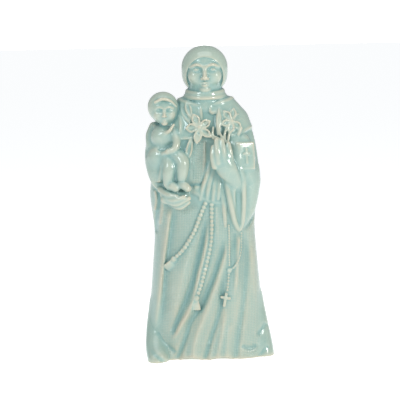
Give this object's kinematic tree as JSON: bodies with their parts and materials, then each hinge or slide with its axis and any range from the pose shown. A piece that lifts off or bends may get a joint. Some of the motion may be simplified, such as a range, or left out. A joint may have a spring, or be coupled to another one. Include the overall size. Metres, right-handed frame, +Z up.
{
  "type": "ceramic devotional figure",
  "caption": "Hollow glazed ceramic statuette of a robed friar who holds a Child on one arm and lilies with a book in the other hand, on a flat foot.",
  "frame": {"origin": "centre of the bounding box's base, on the surface that the foot stands on", "axes": "+Z up through the figure, -Y is the figure's front, +X is at the right of a viewer who faces it"},
  "size_m": [0.1044, 0.0654, 0.2511],
  "materials": {
    "habit_glaze": "gloss",
    "cloak_glaze": "gloss",
    "figure_glaze": "gloss",
    "relief_glaze": "gloss",
    "bare_foot": "matte"
  },
  "bodies": {
    "root": {"body_front": "habit_glaze", "pleat_left": "habit_glaze", "pleat_middle": "habit_glaze", "pleat_right": "habit_glaze", "tunic_fold": "habit_glaze", "body_back": "cloak_glaze", "right_sleeve": "cloak_glaze", "left_sleeve": "cloak_glaze", "cape_front_right": "cloak_glaze", "cape_front_left": "cloak_glaze", "cape_back": "cloak_glaze", "hood": "cloak_glaze", "collar_roll": "cloak_glaze", "hem_corner_right": "cloak_glaze", "hem_corner_left": "cloak_glaze", "head": "figure_glaze", "hair_cap": "figure_glaze", "right_hand": "figure_glaze", "left_hand": "figure_glaze", "child_head": "figure_glaze", "child_hair": "figure_glaze", "child_right_leg": "figure_glaze", "child_left_leg": "figure_glaze", "child_right_foot": "figure_glaze", "child_left_foot": "figure_glaze", "belt_band": "relief_glaze", "cord_short": "relief_glaze", "cord_long": "relief_glaze", "cord_tassel_short": "relief_glaze", "cord_tassel_long": "relief_glaze", "rosary_strand_left": "relief_glaze", "rosary_strand_right": "relief_glaze", "rosary_medal": "relief_glaze", "rosary_pendant": "relief_glaze", "rosary_cross": "relief_glaze", "child_collar": "relief_glaze", "child_tunic": "relief_glaze", "child_right_arm": "relief_glaze", "child_left_arm": "relief_glaze", "lily_left": "relief_glaze", "lily_right": "relief_glaze", "lily_bud_tall": "relief_glaze", "lily_bud_small": "relief_glaze", "lily_leaf_upper": "relief_glaze", "lily_leaf_middle": "relief_glaze", "lily_leaf_lower": "relief_glaze", "lily_stems": "relief_glaze", "book_pages": "relief_glaze", "book_cover": "relief_glaze", "book_cross": "relief_glaze", "foot_slab": "bare_foot"}
  },
  "joints": []
}
